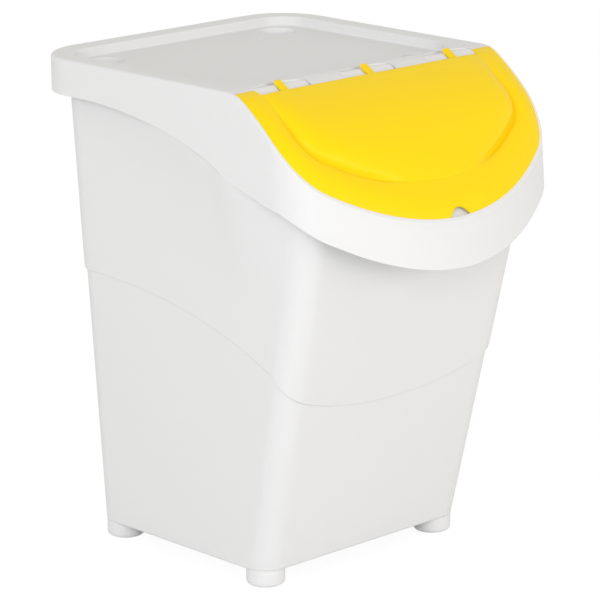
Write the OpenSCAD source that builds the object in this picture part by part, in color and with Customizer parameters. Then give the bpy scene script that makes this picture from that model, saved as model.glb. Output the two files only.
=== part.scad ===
// Stackable waste sorting bin: a tapered bucket, a lift-off cover with a stacking tray,
// and a domed flap that swings on three bars.
// X runs across the bin, +Y points to its back and +Z up. The origin is on the floor,
// in the middle of the outline that the bin covers. All lengths are in millimetres.
// Inside the modules y = 0 is a working line just ahead of the hinge, and place() moves
// each finished piece to the origin.

/* [Overall] */
// Width across the rim of the cover
width = 330; // [310:5:360]
// Height from the floor to the top of the rim
height = 474; // [455:1:500]
// Distance from the working line to the back of the rim
rim_back = 300; // [285:5:320]

/* [Bucket] */
// Thickness of every wall of the bucket
bucket_wall = 2.6; // [2:0.1:3.4]
// Radius of the bucket's upright corners
bucket_corner = 25; // [22:1:30]
// How far each side wall draws in for a millimetre of height
side_draft = 0.040; // [0.03:0.005:0.05]
// How far the back wall draws in for a millimetre of height
back_draft = 0.034; // [0.02:0.002:0.05]
// How far the front wall leans out for a millimetre of height
front_lean = 0.228; // [0.2:0.004:0.24]
// Outward step above the nesting line
nest_step = 2.2; // [1:0.2:3]
// Height of the nesting line at the middle of the front
nest_front = 169; // [150:1:180]
// Height of the nesting line at the back
nest_back = 268; // [250:1:280]
// Distance from the face of the cover to the bucket's side, at the bucket's rim
side_overhang = 15; // [13:0.5:17]
// Distance from the back of the cover to the bucket's back, at the bucket's rim
back_overhang = 26.6; // [25:0.2:29]
// Distance from the front of the flap to the front of the bucket, at the bucket's rim
lip_overhang = 37; // [36:1:44]
// Height of the shoulder that flares out to meet the cover
shoulder_h = 30; // [20:1:36]

/* [Feet] */
// Height of the bucket's bottom above the floor
foot_h = 16; // [12:1:22]
// Radius of each foot
foot_r = 18.2; // [15:0.2:19]
// Radius of the rounded lower edge of a foot
foot_round = 4; // [1:0.5:6]
// Distance from the bucket's bottom edge to a foot's centre
foot_inset = 19.6; // [19.5:0.1:24]

/* [Cover] */
// Thickness of the cover's walls and of its plate
cover_wall = 2.6; // [2:0.1:3.2]
// Radius of the cover's back corners
cover_corner = 54; // [45:1:60]
// Radius of the rounded edge round the top
edge_round = 3; // [1:0.5:4]
// Width of the lip beside and in front of the flap
lip_w = 2.8; // [2:0.2:4]
// Height of the band under the middle of the lip
band_h = 37; // [30:1:42]
// How far the foot of the band stands out past its top
band_flare = 7.3; // [2:0.1:9]
// Depth of the skirt at the back
skirt_h = 34.5; // [30:0.5:38]

/* [Tray] */
// Width of the flat rim on each side of the tray
tray_rim = 22; // [20:0.5:24]
// Width of the flat rim behind the tray
tray_rim_back = 26; // [22:1:30]
// Where the tray starts behind the working line
tray_front = 29; // [29:0.5:32]
// Depth of the tray
tray_depth = 9.5; // [8:0.5:11]
// Radius of the tray's back corners
tray_corner = 30; // [24:1:36]
// Radius of the tray's front corners
tray_front_corner = 45; // [36:1:45]
// Depth of the four sockets for the feet of the next bin
socket_depth = 2.5; // [1:0.5:4]
// Gap between a foot and the edge of its socket
socket_gap = 1; // [0.5:0.1:1.8]
// How much further back the next bin stands
stack_shift = 15; // [14:0.5:18]

/* [Mouth] */
// Distance from the flap's side to the mouth
mouth_side = 32; // [28:1:40]
// Distance from the flap's front edge to the mouth
mouth_border = 48; // [46:1:60]
// Radius of the mouth's front corners
mouth_corner = 34; // [20:1:40]
// Depth of the collar round the mouth
collar_depth = 14; // [6:1:20]

/* [Flap] */
// Thickness of the flap
flap_t = 2.5; // [2:0.1:3]
// Distance from the working line to the front of the flap
flap_reach = 106.5; // [100:0.5:112]
// Radius of the flap's front corners
flap_corner = 50; // [40:1:60]
// Radius of the flap's front edge
flap_front_r = 300; // [260:5:400]
// Gap all round the flap
flap_gap = 0.5; // [0.3:0.1:1]
// Width of the flap's rounded border, from its edge to the crease
border_w = 25; // [20:0.5:28]
// Height of the border above the flap's edge
border_h = 5; // [3:0.5:7]
// Width of the dome's rounded shoulder, inside the crease
dome_roll = 16; // [12:1:24]
// Height of the dome above the flap's edge
dome_h = 12; // [8:0.5:14]
// Radius of the finger notch in the front edge
notch_r = 12; // [9:0.5:14]
// Depth of the finger notch
notch_depth = 6; // [4:0.5:8]

/* [Hinge] */
// Radius of the three bars in the cover
bar_r = 1.7; // [1.5:0.05:1.8]
// Radial clearance between a hook and its bar
bar_clearance = 0.05; // [0.02:0.01:0.1]
// Thickness of a hook round its bar
hook_wall = 2; // [1.6:0.05:2.2]
// Width of a hook
hook_w = 7.5; // [6:0.5:10]
// Reach of a hook's tab from the middle of its bar
tab_reach = 5.7; // [5:0.1:6.2]
// Distance between neighbouring hooks
hook_pitch = 107.6; // [95:0.2:112]
// Half the width of the hollow that each hook sits in
scoop_half = 34; // [24:1:40]

/* [Hidden] */
$fn = 48;

half = width / 2;
// Gap left where one piece rests on another
seat_gap = 0.3;
// Small overlap that joins solids which would only touch
bite = 1.3;
far = 400;

// Top surface of the lip and flap: level, then a tight arc, a wide arc and a straight slope
deck_start = 24;
deck_r1 = 34.3;
deck_r2 = 271;
deck_a1 = 34.2;
deck_a2 = 48.2;
deck_c1 = [deck_start, height - deck_r1];
deck_p1 = deck_c1 + deck_r1 * [-sin(deck_a1), cos(deck_a1)];
deck_c2 = deck_p1 + deck_r2 * [sin(deck_a1), -cos(deck_a1)];

// Flap outline
flap_half = half - lip_w;
flap_cx = flap_half - flap_corner;
flap_cy0 = flap_front_r - flap_reach;
flap_cy = flap_cy0 - sqrt(pow(flap_front_r - flap_corner, 2) - flap_cx * flap_cx);
flap_turn = asin(flap_cx / (flap_front_r - flap_corner));
flap_rear = 11;
ear_rear = 14.4;
ear_w = 23;
// The border rounds up to its top over this width, then drops a little into the crease
border_roll = 16;
crease_d = 1;

// Depths below the deck, square to it
rebate_d = flap_t + flap_gap;
ledge_d = rebate_d + 2.4;
rear_gap = 1.4;

// Hinge
bar_y = 17.4;
bar_z = height - 2.3;
hook_r = bar_r + bar_clearance + hook_wall;
scoop_y = flap_rear;
scoop_b = 15;
scoop_r = 15;
scoop_y0 = bar_y - 2.4;
scoop_z0 = height + 7;

// Tray
floor_z = height - tray_depth;
socket_z = floor_z - socket_depth;
socket_r = foot_r + socket_gap;

// The shoulder on the bucket's sides: where it ends, and the length over which it fades there
shoulder_back = 190;
shoulder_fade_back = 65;
shoulder_front = -58;
shoulder_fade_front = 50;

// Bucket rim, just under the pans of the sockets
rim_z = socket_z - cover_wall - seat_gap;
front_rim_y = -flap_reach + lip_overhang;
front_rim_z = deck_z(front_rim_y, ledge_d) - seat_gap;
foot_x = bucket_half(foot_h) - nest_step - foot_inset;
foot_front = bucket_front(foot_h) + nest_step + foot_inset;
foot_back = bucket_back(foot_h) - nest_step - foot_inset;

function lerp(a, b, t) = a + (b - a) * t;
function clamp(t) = min(1, max(0, t));
function smooth(t) = let (c = clamp(t)) c * c * (3 - 2 * c);
function arc(c, r, a0, a1, n) =
    [for (i = [0:n]) let (a = lerp(a0, a1, i / n)) c + r * [cos(a), sin(a)]];

// Slope of the deck, in degrees, and its height d below the surface, at a place y
function deck_slope(y) =
    y >= deck_start ? 0
    : y >= deck_p1.x ? asin((deck_start - y) / deck_r1)
    : min(deck_a2, asin(clamp((deck_c2.x - y) / deck_r2)));
function deck_z(y, d = 0) =
    let (y1 = deck_c1.x - (deck_r1 - d) * sin(deck_a1),
         y2 = deck_c2.x - (deck_r2 - d) * sin(deck_a2),
         z2 = deck_c2.y + (deck_r2 - d) * cos(deck_a2))
    y >= deck_start ? height - d
    : y >= y1 ? deck_c1.y + sqrt(pow(deck_r1 - d, 2) - pow(deck_start - y, 2))
    : y >= y2 ? deck_c2.y + sqrt(pow(deck_r2 - d, 2) - pow(deck_c2.x - y, 2))
    : z2 - (y2 - y) * tan(deck_a2);

// The deck's profile, d below the surface, from the back to the front
function deck_line(d) = concat(
    [[far, height - d]],
    arc(deck_c1, deck_r1 - d, 90, 90 + deck_a1, 7),
    [for (i = [1:6]) let (a = lerp(deck_a1, deck_a2, i / 6)) deck_c2 + (deck_r2 - d) * [-sin(a), cos(a)]],
    [[-far / 2, deck_z(-far / 2, d)]]);

// Depth of the cover's lower edge below the deck, as a smooth curve through a few places
seam_knots = [
    [-flap_reach - 23.5, band_h - 1.5],
    [-flap_reach + 6.5, band_h],
    [-flap_reach + 31.5, band_h + 2],
    [-flap_reach + 56.5, band_h + 11.5],
    [-22, 68],
    [15, 82],
    [50, 66],
    [95, skirt_h + 16],
    [150, skirt_h + 5.5],
    [210, skirt_h],
    [far, skirt_h]];
function knot(i) = seam_knots[max(0, min(len(seam_knots) - 1, i))];
function blend4(a, b, c, d, t) =
    let (t2 = 2 * a - 5 * b + 4 * c - d, t3 = 3 * b - a - 3 * c + d)
    0.5 * (2 * b + (c - a) * t + t2 * t * t + t3 * t * t * t);
function seam_depth(y, i = 0) =
    y <= knot(0).x ? knot(0).y
    : i >= len(seam_knots) - 1 ? skirt_h
    : y > knot(i + 1).x ? seam_depth(y, i + 1)
    : let (t = (y - knot(i).x) / (knot(i + 1).x - knot(i).x))
    blend4(knot(i - 1).y, knot(i).y, knot(i + 1).y, knot(i + 2).y, t);
function seam_z(y) = deck_z(y) - seam_depth(y);

// Outline of the flap in plan, grown by g and pushed forward by p
function flap_front_arcs(g, p) = concat(
    arc([flap_cx, flap_cy - p], flap_corner + g, 0, flap_turn - 90, 9),
    [for (i = [1:17])
        let (a = lerp(flap_turn, -flap_turn, i / 18))
        [0, flap_cy0 - p] + (flap_front_r + g) * [sin(a), -cos(a)]],
    arc([-flap_cx, flap_cy - p], flap_corner + g, -90 - flap_turn, -180, 9));
// Outline of the cover in plan
function cover_outline(g, p) = concat(
    flap_front_arcs(lip_w + g, p),
    arc([-half + cover_corner, rim_back - cover_corner], cover_corner + g, 180, 90, 10),
    arc([half - cover_corner, rim_back - cover_corner], cover_corner + g, 90, 0, 10));
// Front edge of the flap's outline at a place x, grown by g
function flap_front_y(x, g) =
    let (ax = abs(x))
    ax > (flap_front_r + g) * sin(flap_turn)
        ? flap_cy - sqrt(max(0, pow(flap_corner + g, 2) - pow(max(0, ax - flap_cx), 2)))
        : flap_cy0 - sqrt(pow(flap_front_r + g, 2) - ax * ax);
// Distance from a point inwards to the flap's outline
function flap_inset(x, y) =
    let (ax = abs(x), v = [ax - flap_cx, y - flap_cy], a = atan2(v.y, v.x))
    v.y >= 0 ? flap_half - ax
    : (a >= flap_turn - 90) ? flap_corner - norm(v)
    : flap_front_r - norm([ax, y - flap_cy0]);
// Height of the flap above the deck: a rounded border, a crease and a dome
function dome(x, y) =
    let (i = flap_inset(x, y))
    smooth((flap_rear + 4 - y) / 55) * (
        border_h * sin(90 * clamp(i / border_roll))
        - crease_d * (1 - cos(90 * clamp((i - border_roll) / (border_w - border_roll))))
        + (dome_h - border_h + crease_d) * sin(90 * clamp((i - border_w) / dome_roll)));

// Bucket walls at a height z, above the nesting line
function bucket_half(z) = half - side_overhang - side_draft * (rim_z - z);
function bucket_back(z) = rim_back - back_overhang - back_draft * (rim_z - z);
function bucket_front(z) = front_rim_y - front_lean * (z - front_rim_z);

// The bucket's outline as [across, along, facing] for each point of a ring
side_n = 30;
front_n = 8;
turn_n = 6;
ring = concat(
    [for (i = [0:front_n - 1]) [lerp(-1, 1, i / front_n), 0, -90]],
    [for (i = [0:turn_n]) [1, 0, lerp(-90, 0, i / turn_n)]],
    [for (i = [1:side_n - 1]) [1, i / side_n, 0]],
    [for (i = [0:turn_n]) [1, 1, lerp(0, 90, i / turn_n)]],
    [for (i = [1:front_n - 1]) [lerp(1, -1, i / front_n), 1, 90]],
    [for (i = [0:turn_n]) [-1, 1, lerp(90, 180, i / turn_n)]],
    [for (i = [1:side_n - 1]) [-1, 1 - i / side_n, 180]],
    [for (i = [0:turn_n - 1]) [-1, 0, lerp(180, 270, i / turn_n)]]);
function ring_point(u, z, out) =
    let (a = bucket_half(z) - bucket_corner,
         f = bucket_front(z) + bucket_corner,
         b = bucket_back(z) - bucket_corner)
    [u.x * a + cos(u.z) * (bucket_corner + out), lerp(f, b, u.y) + sin(u.z) * (bucket_corner + out), z];
// Height of the nesting line: low in front, rising along the sides to the back
function nest_z(u) =
    let (p = ring_point(u, nest_front, 0),
         front = nest_front + 25 * pow(clamp(abs(p.x) / 136), 2.2),
         b = bucket_back(nest_front),
         side = nest_back - 67 * pow(clamp((b - 12 - p.y) / (b + 8)), 2.2),
         t = u.y > 0 || sin(u.z) >= 0 ? 1 : 1 + sin(u.z))
    lerp(front, side, t);
// Height of the rim: level, and just under the ledge towards the front
function rim_top(u, z = rim_z, n = 6) =
    n == 0 ? z : rim_top(u, min(rim_z, deck_z(ring_point(u, z, 0).y, ledge_d) - seat_gap), n - 1);
// Height at which the cover's lower edge crosses this place on the wall
function seam_at(u, z = rim_z - 60, n = 6) =
    n == 0 ? z : seam_at(u, seam_z(ring_point(u, z, 0).y), n - 1);
// The shoulder under the cover: full beside the front half, fading to the corners
function shoulder(u) =
    let (y = ring_point(u, height - 60, 0).y)
    abs(cos(u.z)) < 0.999 ? 0 : smooth((shoulder_back - y) / shoulder_fade_back)
        * smooth((y - shoulder_front) / shoulder_fade_front);
function level(u, k) =
    let (s = shoulder(u),
         seam = seam_at(u),
         nest = nest_z(u),
         full = half - 0.4 - bucket_half(seam),
         inner = full - cover_wall - 0.6)
    k == 0 ? [foot_h, -nest_step - 3]
    : k == 1 ? [foot_h + 1, -nest_step - 1]
    : k == 2 ? [foot_h + 3, -nest_step]
    : k == 3 ? [nest - 0.5, -nest_step]
    : k == 4 ? [nest + 0.5, 0]
    : k == 5 ? [seam - 6 - shoulder_h * s, 0]
    : k == 6 ? [seam - 3 - shoulder_h * 0.45 * s, 0.28 * full * s]
    : k == 7 ? [seam - 0.8, full * s]
    : k == 8 ? [seam - 0.4, inner * s]
    : [rim_top(u), 0];
outer_k = [0, 1, 2, 3, 4, 5, 6, 7, 8, 9];
inner_k = [9, 8, 7, 6, 5, 4, 3];
function outer_ring(k) =
    [for (u = ring) let (l = level(u, k)) ring_point(u, l[0], l[1])];
function inner_ring(k) =
    [for (u = ring)
        let (l = level(u, k == 7 ? 8 : k), drop = k == 7 ? 2.5 : 0)
        ring_point(u, l[0] - drop, l[1] - bucket_wall)];
function floor_ring() =
    [for (u = ring) ring_point(u, foot_h + bucket_wall, -nest_step - bucket_wall)];

// Joins a stack of closed rings of n points into one solid
module ring_solid(rings) {
    n = len(rings[0]);
    m = len(rings);
    sides = [for (k = [0:m - 2], i = [0:n - 1], t = [0:1])
        let (a = k * n + i, b = a + n, c = k * n + (i + 1) % n, d = c + n)
        t == 0 ? [a, b, d] : [a, d, c]];
    low = n * m;
    base = [for (i = [0:n - 1]) [low, i, (i + 1) % n]];
    lid = [for (i = [0:n - 1]) [low + 1, (m - 1) * n + (i + 1) % n, (m - 1) * n + i]];
    polyhedron(
        points = concat([for (r = rings, p = r) p], [middle(rings[0]), middle(rings[m - 1])]),
        faces = concat(sides, base, lid),
        convexity = 6);
}
function middle(r) = [0, (min([for (p = r) p.y]) + max([for (p = r) p.y])) / 2, r[0].z];

// A sheet that follows the deck between two depths, in the flap's outline grown by g
module deck_sheet(g, top_d, low_d, rear, ears, domed) {
    nx = 48;
    ny = 18;
    w = flap_half + g;
    function px(i) = w * sin(lerp(-90, 90, i / nx));
    function py(i, j) =
        let (x = px(i), back = abs(x) > flap_half - ear_w - g ? ears : rear)
        lerp(back, flap_front_y(x, g), j / ny);
    function at(i, j, d) =
        let (x = px(i), y = py(i, j), a = deck_slope(y), h = domed ? dome(x, y) : 0,
             y1 = y + d * sin(a) * clamp((rear - y) / 40))
        [x, y1 - h * sin(a), deck_z(y1, d) + h * cos(a)];
    function id(i, j, s) = (s * (nx + 1) + i) * (ny + 1) + j;
    cells = [for (i = [0:nx - 1], j = [0:ny - 1]) [i, j]];
    top = [for (c = cells) [id(c.x, c.y, 0), id(c.x + 1, c.y + 1, 0), id(c.x, c.y + 1, 0)]];
    top2 = [for (c = cells) [id(c.x, c.y, 0), id(c.x + 1, c.y, 0), id(c.x + 1, c.y + 1, 0)]];
    low = [for (c = cells) [id(c.x, c.y, 1), id(c.x, c.y + 1, 1), id(c.x + 1, c.y + 1, 1)]];
    low2 = [for (c = cells) [id(c.x, c.y, 1), id(c.x + 1, c.y + 1, 1), id(c.x + 1, c.y, 1)]];
    edge = concat(
        [for (i = [0:nx]) [i, 0]],
        [for (j = [1:ny]) [nx, j]],
        [for (i = [nx - 1:-1:0]) [i, ny]],
        [for (j = [ny - 1:-1:1]) [0, j]]);
    ne = len(edge);
    wall1 = [for (k = [0:ne - 1])
        let (a = edge[k], b = edge[(k + 1) % ne])
        [id(a.x, a.y, 0), id(b.x, b.y, 1), id(b.x, b.y, 0)]];
    wall2 = [for (k = [0:ne - 1])
        let (a = edge[k], b = edge[(k + 1) % ne])
        [id(a.x, a.y, 0), id(a.x, a.y, 1), id(b.x, b.y, 1)]];
    polyhedron(
        points = concat(
            [for (i = [0:nx], j = [0:ny]) at(i, j, top_d)],
            [for (i = [0:nx], j = [0:ny]) at(i, j, low_d)]),
        faces = concat(top, top2, low, low2, wall1, wall2),
        convexity = 6);
}

// Solid below a profile line drawn in the plane of Y and Z
module across(points, w) {
    rotate([90, 0, 90])
        linear_extrude(w, center = true)
            polygon(points);
}
module under_deck(d) {
    across(concat(deck_line(d), [[-far / 2, -far], [far, -far]]), 2 * far);
}
module deck_layer(d0, d1) {
    difference() {
        under_deck(d0);
        under_deck(d1);
    }
}
module prism(points, z0, z1) {
    translate([0, 0, z0])
        linear_extrude(z1 - z0)
            polygon(points);
}
// Rounded rectangle with its own radius at the back and at the front
function pan_outline(w, y0, y1, rb, rf, g) = concat(
    arc([w - rf, y0 + rf], rf + g, -90, 0, 8),
    arc([w - rb, y1 - rb], rb + g, 0, 90, 8),
    arc([-w + rb, y1 - rb], rb + g, 90, 180, 8),
    arc([-w + rf, y0 + rf], rf + g, 180, 270, 8));

// Bar along X
module bar(r, w) {
    rotate([0, 90, 0])
        cylinder(r = r, h = w, center = true);
}

module place() {
    translate([0, -(rim_back + cover_front()) / 2, 0])
        children();
}
// Front face of the band at a height z, and its furthest point forward: the band's foot
slab_z = deck_z(-flap_reach) - band_h - 20;
band_top_y = -flap_reach - lip_w;
band_top_z = deck_z(band_top_y, edge_round + 0.5);
function band_y(z) = band_top_y - band_flare * clamp((band_top_z - z) / (band_top_z - slab_z));
function cover_front(n = 5) = n == 0 ? band_top_y : band_y(seam_z(cover_front(n - 1)));

// Outer shape of the cover drawn in by t all round
module rounded_layer(d) {
    deck_layer(d, d + 0.5);
}
module cover_block(t, round) {
    hull() {
        for (i = [0:2])
            intersection() {
                prism(cover_outline(-t - round * (1 - cos(45 * i)), 0), 0, height + 1);
                rounded_layer(t + round * (1 - sin(45 * i)));
            }
        prism(cover_outline(-t, band_flare), slab_z, slab_z + 0.5);
    }
}
module below_seam() {
    y0 = -flap_reach - 60;
    across(concat(
        [[far, -1], [far, seam_z(far)]],
        [for (y = [rim_back + 10:-5:y0]) [y, seam_z(y)]],
        [[y0, -1]]), 2 * far);
}
module scoop(g) {
    intersection() {
        prism(concat(
            [for (a = [0:15:180]) [(scoop_half + g) * cos(a), scoop_y + (scoop_b + g) * sin(a)]],
            [[-scoop_half - g, scoop_y - g], [scoop_half + g, scoop_y - g]]), 0, height + 1);
        translate([0, scoop_y0, scoop_z0])
            bar(scoop_r + g, 2 * scoop_half + 2 * g);
    }
}
module each_hook() {
    for (x = [-hook_pitch, 0, hook_pitch])
        translate([x, 0, 0])
            children();
}
function mouth_outline(g) =
    pan_outline(flap_half - mouth_side, mouth_border - flap_reach, 2, 8, mouth_corner, g);
function tray_outline(g) =
    pan_outline(half - tray_rim, tray_front, rim_back - tray_rim_back, tray_corner, tray_front_corner, g);

module each_foot() {
    for (x = [-foot_x, foot_x], y = [foot_front, foot_back])
        translate([x, y, 0])
            children();
}
module each_socket(z) {
    translate([0, stack_shift, z])
        each_foot()
            children();
}
module top_cover() {
    color("whitesmoke")
    place() {
        difference() {
            union() {
                difference() {
                    cover_block(0, edge_round);
                    cover_block(cover_wall, 0.2);
                }
                // Ledge under the flap, and the land behind it
                intersection() {
                    prism(cover_outline(-bite, 0), 0, height + 1);
                    deck_layer(1, ledge_d);
                    translate([-far, -far, 0])
                        cube([2 * far, far + flap_rear + 5, 2 * far]);
                }
                // Collar round the mouth
                intersection() {
                    prism(mouth_outline(cover_wall), 0, height);
                    deck_layer(rebate_d, ledge_d + collar_depth);
                }
                prism(tray_outline(cover_wall), floor_z - cover_wall, height - bite);
                each_socket(socket_z - cover_wall)
                    cylinder(r = socket_r + cover_wall, h = socket_depth + cover_wall - 1);
                intersection() {
                    each_hook() scoop(cover_wall);
                    under_deck(1);
                }
            }
            below_seam();
            prism(mouth_outline(0), 0, height + 1);
            prism(tray_outline(0), floor_z, height + 1);
            deck_sheet(flap_gap, -8, rebate_d, flap_rear + rear_gap, ear_rear + 1, false);
            each_hook() scoop(0);
            each_socket(socket_z)
                cylinder(r = socket_r, h = socket_depth + 1);
        }
        each_hook()
            translate([0, bar_y, bar_z])
                bar(bar_r, 2 * scoop_half - 1);
    }
}

module foot() {
    rotate_extrude()
        polygon(concat(
            [[0, 0]],
            arc([foot_r - foot_round, foot_round], foot_round, -90, 0, 6),
            [[foot_r, foot_h + 2], [0, foot_h + 2]]));
}
module bin_body() {
    color("white")
    place()
        difference() {
            union() {
                ring_solid(concat(
                    [for (k = outer_k) outer_ring(k)],
                    [for (k = inner_k) inner_ring(k)],
                    [floor_ring()]));
                each_foot()
                    foot();
            }
            each_foot()
                translate([0, 0, bucket_wall])
                    cylinder(r = foot_r - bucket_wall, h = foot_h);
        }
}

// A clip that opens to the back, with a short tab that leans into the hollow behind it
module hook() {
    bar_c = [bar_y, bar_z];
    difference() {
        union() {
            translate([0, bar_y, bar_z])
                bar(hook_r, hook_w);
            across([
                [flap_rear - 7, deck_z(flap_rear - 7) - 0.4],
                [flap_rear - 0.5, deck_z(flap_rear - 0.5) + 0.3],
                bar_c + (tab_reach - 0.7) * [cos(95), sin(95)],
                bar_c + tab_reach * [cos(76), sin(76)],
                bar_c + [0.7, hook_r - 0.2],
                bar_c,
                [bar_y - hook_r + 0.2, bar_z - 0.4],
                [flap_rear - 1, deck_z(flap_rear - 1, flap_t - 0.5)],
                [flap_rear - 7, deck_z(flap_rear - 7, flap_t - 0.6)]], hook_w);
        }
        translate([0, bar_y, bar_z])
            bar(bar_r + bar_clearance, hook_w + 2);
        translate([0, bar_y + 0.7 + hook_r, bar_z])
            cube([hook_w + 2, 2 * hook_r, 2 * hook_r], center = true);
    }
}
module flap_lid() {
    color("gold")
    place() {
        difference() {
            union() {
                deck_sheet(0, 0, flap_t, flap_rear, ear_rear, true);
                each_hook() hook();
            }
            translate([0, -flap_reach - notch_r + notch_depth, 0])
                cylinder(r = notch_r, h = height);
        }
    }
}

bin_body();
top_cover();
flap_lid();
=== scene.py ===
# %% [markdown]
# # Waste sorting bin
# A tapered bucket on four feet, a lift-off cover with a stacking tray in its top, and a domed
# flap that swings on three bars. They are three plastic mouldings with thin walls. Such shells can
# be modelled by hand under a subdivision surface, but here every edge follows a rule, so the
# meshes are worked out from curves. They are drawn in millimetres: X runs across the bin, y = 0 is
# a working line just ahead of the hinge, and Z is the height above the floor. `Surface.build`
# turns that into metres around the bin's own origin.

# %% Load the frame
import math

import bmesh
import bpy
import numpy as np
from mathutils import Matrix, Vector
from mathutils.geometry import delaunay_2d_cdt


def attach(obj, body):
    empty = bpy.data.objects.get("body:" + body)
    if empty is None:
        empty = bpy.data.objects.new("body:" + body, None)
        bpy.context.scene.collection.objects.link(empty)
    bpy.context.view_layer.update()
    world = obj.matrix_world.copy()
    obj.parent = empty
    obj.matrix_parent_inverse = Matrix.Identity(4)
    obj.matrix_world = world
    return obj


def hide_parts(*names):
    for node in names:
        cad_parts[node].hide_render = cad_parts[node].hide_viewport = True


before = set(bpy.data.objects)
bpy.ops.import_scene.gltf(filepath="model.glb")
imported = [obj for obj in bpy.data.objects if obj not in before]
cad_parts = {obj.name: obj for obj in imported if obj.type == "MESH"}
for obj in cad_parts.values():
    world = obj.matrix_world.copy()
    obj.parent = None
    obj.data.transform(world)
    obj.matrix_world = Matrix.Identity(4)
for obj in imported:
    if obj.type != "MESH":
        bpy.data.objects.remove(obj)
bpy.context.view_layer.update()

# %% [markdown]
# ## The deck
# The lip and the flap follow one surface, called the deck here. From the back it is level, then it
# turns down through a tight arc and a wide one into a straight slope. It could be a curve object,
# but a plain function of the distance `y` is better: any outline can then be laid on it. Depths
# below the deck are measured square to it, so that a wall keeps its thickness on the slope.

# %% Deck
HEIGHT = 474.0
DECK_START = 24.0
TIGHT_R, WIDE_R = 34.3, 271.0
TIGHT_TURN, WIDE_TURN = math.radians(34.2), math.radians(48.2)
TIGHT_CENTRE = np.array([DECK_START, HEIGHT - TIGHT_R])
ARCS_MEET = TIGHT_CENTRE + TIGHT_R * np.array([-math.sin(TIGHT_TURN), math.cos(TIGHT_TURN)])
WIDE_CENTRE = ARCS_MEET + WIDE_R * np.array([math.sin(TIGHT_TURN), -math.cos(TIGHT_TURN)])


def clamp(t):
    return np.clip(t, 0.0, 1.0)


def smooth(t):
    c = clamp(t)
    return c * c * (3 - 2 * c)


def lerp(a, b, t):
    return a + (b - a) * t


def deck_angle(y):
    """How far the deck is turned down at y, in radians."""
    y = np.asarray(y, float)
    tight = np.arcsin(clamp((DECK_START - y) / TIGHT_R))
    wide = np.minimum(WIDE_TURN, np.arcsin(np.clip((WIDE_CENTRE[0] - y) / WIDE_R, -1, 1)))
    return np.where(y >= DECK_START, 0.0, np.where(y >= ARCS_MEET[0], tight, wide))


def deck_z(y, d=0.0):
    """Height of the surface that lies d below the deck."""
    y = np.asarray(y, float)
    tight_end = TIGHT_CENTRE[0] - (TIGHT_R - d) * math.sin(TIGHT_TURN)
    wide_end = WIDE_CENTRE[0] - (WIDE_R - d) * math.sin(WIDE_TURN)
    slope_top = WIDE_CENTRE[1] + (WIDE_R - d) * math.cos(WIDE_TURN)
    tight = TIGHT_CENTRE[1] + np.sqrt(np.maximum(0, (TIGHT_R - d) ** 2 - (DECK_START - y) ** 2))
    wide = WIDE_CENTRE[1] + np.sqrt(np.maximum(0, (WIDE_R - d) ** 2 - (WIDE_CENTRE[0] - y) ** 2))
    slope = slope_top - (wide_end - y) * math.tan(WIDE_TURN)
    ahead = np.where(y >= tight_end, tight, np.where(y >= wide_end, wide, slope))
    return np.where(y >= DECK_START, HEIGHT - d, ahead)


print("deck heights from the front:", [round(float(deck_z(y)), 1) for y in (-100, -50, 0, 50)])

# %% [markdown]
# ## The seam
# The cover's lower edge rises and falls along the side of the bin like a wave. Each pair below is
# a distance `y` and how far the edge lies below the deck there. A cubic through four neighbouring
# pairs gives a soft line, and both the cover and the bucket's shoulder read it, so that they meet.
# A Bezier curve could hold the same line, but a function can be asked for its height anywhere.

# %% Seam
SKIRT_H = 34.5
SKIRT_START = 210
SEAM_KNOTS = np.array([
    [-130, 35.5], [-100, 37], [-75, 39], [-50, 48.5], [-22, 68], [15, 82],
    [50, 66], [95, 50.5], [150, 40], [SKIRT_START, SKIRT_H], [400, SKIRT_H]])


def seam_depth(y):
    y = np.asarray(y, float)
    x, v = SEAM_KNOTS[:, 0], SEAM_KNOTS[:, 1]
    i = np.clip(np.searchsorted(x, y) - 1, 0, len(x) - 2)
    t = clamp((y - x[i]) / (x[i + 1] - x[i]))
    a, b, c, d = v[np.maximum(i - 1, 0)], v[i], v[i + 1], v[np.minimum(i + 2, len(x) - 1)]
    bend, turn = (2 * a - 5 * b + 4 * c - d) * t * t, (3 * b - a - 3 * c + d) * t ** 3
    cubic = 0.5 * (2 * b + (c - a) * t + bend + turn)
    return np.where(y <= x[0], v[0], np.where(y >= SKIRT_START, SKIRT_H, cubic))


def seam_z(y):
    return deck_z(y) - seam_depth(y)


print("seam heights from the front:", [round(float(seam_z(y)), 1) for y in (-100, 0, 100, 200)])

# %% [markdown]
# ## Plan tools
# Most forms start as a closed outline seen from above, counter-clockwise. These helpers draw arcs,
# move an outline outwards, add points to long edges, and test which points lie inside. Blender's
# own curves could do the drawing, but matching rows of points are easier to join into a surface.

# %% Plan tools
def arc(cx, cy, r, a0, a1, n):
    t = np.radians(np.linspace(a0, a1, n + 1))
    return np.stack([cx + r * np.cos(t), cy + r * np.sin(t)], -1)


def circle(x, y, r, n=64):
    return arc(x, y, r, 0, 360, n)[:-1]


def between(a, b, n):
    return np.linspace(a, b, n + 1)[1:-1]


def offset(loop, d):
    """A closed outline moved outwards by d."""
    before, after = np.roll(loop, 1, 0), np.roll(loop, -1, 0)
    sides = []
    for e in (loop - before, after - loop):
        length = np.maximum(1e-9, np.linalg.norm(e, axis=1))
        sides.append(np.stack([e[:, 1], -e[:, 0]], -1) / length[:, None])
    n = sides[0] + sides[1]
    n /= np.maximum(1e-9, (n * n).sum(1) / 2)[:, None]
    return loop + d * n


def resample(loop, step, closed=True):
    """Adds points so that no edge is longer than step."""
    out = []
    last = len(loop) if closed else len(loop) - 1
    for i in range(last):
        a, b = loop[i], loop[(i + 1) % len(loop)]
        k = max(1, int(math.ceil(np.linalg.norm(b - a) / step)))
        out += [a + (b - a) * j / k for j in range(k)]
    if not closed:
        out.append(loop[-1])
    return np.array(out)


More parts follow.
